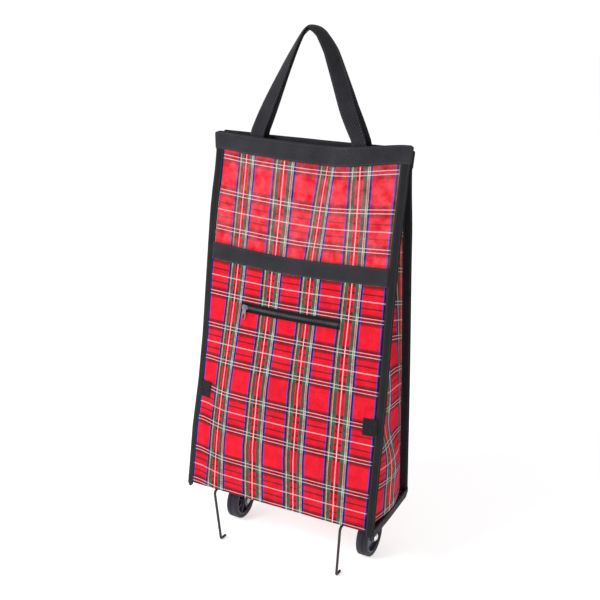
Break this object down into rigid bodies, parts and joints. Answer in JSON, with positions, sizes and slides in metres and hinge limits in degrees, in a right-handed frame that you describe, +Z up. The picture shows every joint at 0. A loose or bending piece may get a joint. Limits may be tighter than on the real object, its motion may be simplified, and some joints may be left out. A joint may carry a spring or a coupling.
{
  "type": "shopping trolley on wheels",
  "caption": "Tall wedge-shaped tartan cloth shopping bag with webbing handles and a zipped pocket, on small wheels and folding wire legs.",
  "frame": {"origin": "on the floor under the middle of the bag's bottom", "axes": "+Z up to the handles, +X to the right seen from the pocket side, -Y towards the pocket side"},
  "size_m": [0.3, 0.1459, 0.7765],
  "materials": {
    "tartan": "woven tartan, matt",
    "black_webbing": "ribbed webbing",
    "binding_tape": "folded tape",
    "zip_cloth": "fine woven tape",
    "zip_coil": "nylon coil",
    "hook_and_loop": "looped pile",
    "black_metal": "black lacquer",
    "black_wire": "gloss black coated wire",
    "bright_steel": "zinc plated",
    "chrome_cap": "polished",
    "board": "hardboard",
    "tyre": "satin black",
    "rim_plastic": "moulded",
    "bush_plastic": "natural nylon"
  },
  "bodies": {
    "bag": {"front_panel": "tartan", "pocket_panel": "tartan", "back_panel": "tartan", "bottom_panel": "tartan", "gusset_left": "tartan", "gusset_right": "tartan", "gusset_hem_left": "black_webbing", "gusset_hem_right": "black_webbing", "binding_left": "binding_tape", "binding_right": "binding_tape", "top_band_front": "black_webbing", "top_band_back": "black_webbing", "mid_band": "black_webbing", "zip_tape_upper": "zip_cloth", "zip_tape_lower": "zip_cloth", "zip_teeth": "zip_coil", "zip_stops": "black_metal", "hook_square_left": "hook_and_loop", "hook_square_right": "hook_and_loop", "base_board": "board", "bracket_left": "black_metal", "bracket_right": "black_metal", "bracket_rivets": "bright_steel", "axle_left": "bright_steel", "axle_right": "bright_steel", "axle_washers": "bright_steel", "axle_cap_left": "chrome_cap", "axle_cap_right": "chrome_cap", "leg_clip_left": "bright_steel", "leg_clip_right": "bright_steel", "clip_rivets": "bright_steel", "handle_ends_front": "black_webbing", "handle_ends_back": "black_webbing"},
    "wheel_left": {"tyre_left": "tyre", "wheel_rim_left": "rim_plastic", "wheel_bush_left": "bush_plastic"},
    "wheel_right": {"tyre_right": "tyre", "wheel_rim_right": "rim_plastic", "wheel_bush_right": "bush_plastic"},
    "leg_left": {"leg_left": "black_wire"},
    "leg_right": {"leg_right": "black_wire"},
    "zip_slider": {"zip_slider": "black_metal"},
    "zip_pull": {"zip_pull": "black_metal"},
    "handle_front": {"handle_front": "black_webbing"},
    "handle_back": {"handle_back": "black_webbing"}
  },
  "joints": [
    {"name": "wheel_left_spin", "type": "hinge", "parent": "bag", "child": "wheel_left", "pos_m": [-0.1133, 0.0133, 0.031], "axis": [1, 0, 0], "continuous": true},
    {"name": "wheel_right_spin", "type": "hinge", "parent": "bag", "child": "wheel_right", "pos_m": [0.1133, 0.0133, 0.031], "axis": [1, 0, 0], "continuous": true},
    {"name": "leg_left_fold", "type": "hinge", "parent": "bag", "child": "leg_left", "pos_m": [-0.1098, -0.0665, 0.0857], "axis": [0, -1, 0], "range_deg": [0, 83]},
    {"name": "leg_right_fold", "type": "hinge", "parent": "bag", "child": "leg_right", "pos_m": [0.1025, -0.0665, 0.0857], "axis": [0, 1, 0], "range_deg": [0, 85]},
    {"name": "zip_slide", "type": "slide", "parent": "bag", "child": "zip_slider", "axis": [1, 0, 0], "range_m": [0, 0.141]},
    {"name": "zip_pull_swing", "type": "hinge", "parent": "zip_slider", "child": "zip_pull", "pos_m": [-0.0748, -0.03996, 0.37962], "axis": [0, -0.9932, 0.116], "range_deg": [-85, 85]},
    {"name": "handle_front_flop", "type": "hinge", "parent": "bag", "child": "handle_front", "pos_m": [0, -0.0041, 0.629], "axis": [1, 0, 0], "range_deg": [0, 128]},
    {"name": "handle_back_flop", "type": "hinge", "parent": "bag", "child": "handle_back", "pos_m": [0, 0.0057, 0.629], "axis": [-1, 0, 0], "range_deg": [0, 128]}
  ]
}
